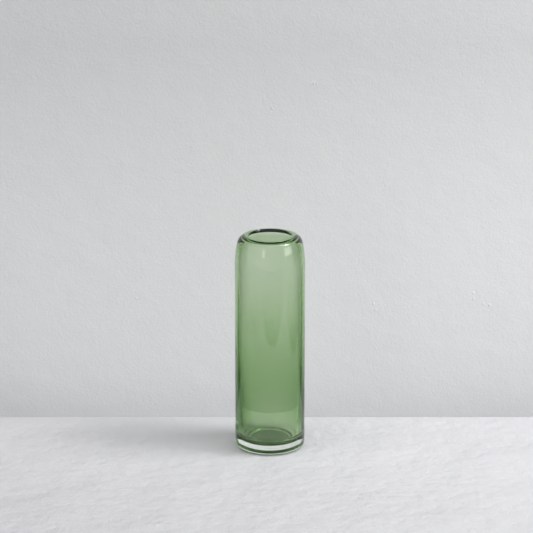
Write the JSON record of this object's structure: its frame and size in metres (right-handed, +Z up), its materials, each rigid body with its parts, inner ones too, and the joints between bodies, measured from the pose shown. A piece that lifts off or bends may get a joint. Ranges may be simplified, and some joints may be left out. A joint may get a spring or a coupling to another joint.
{
  "type": "glass bud vase",
  "caption": "Tall cylindrical bud vase of cased glass with a softly rounded shoulder, a wide fire-polished mouth and a heavy clear base.",
  "frame": {"origin": "centre of the circle that the vase stands on, on the table surface", "axes": "+Z up along the vase's axis of revolution, towards the mouth; X and Y are any two directions at right angles, since the vase is round"},
  "size_m": [0.065, 0.065, 0.204],
  "materials": {
    "clear_base_glass": "polished",
    "clear_casing_glass": "fire polished, faintly uneven from blowing",
    "clear_shoulder_glass": "fire polished, faintly uneven from blowing",
    "green_glass": "transparent leaf green, deeper towards the base",
    "clear_lip_glass": "fire polished"
  },
  "bodies": {
    "root": {"clear_glass_base": "clear_base_glass", "clear_glass_casing": "clear_casing_glass", "clear_glass_shoulder": "clear_shoulder_glass", "green_glass_liner": "green_glass", "clear_lip_ring": "clear_lip_glass"}
  },
  "joints": []
}
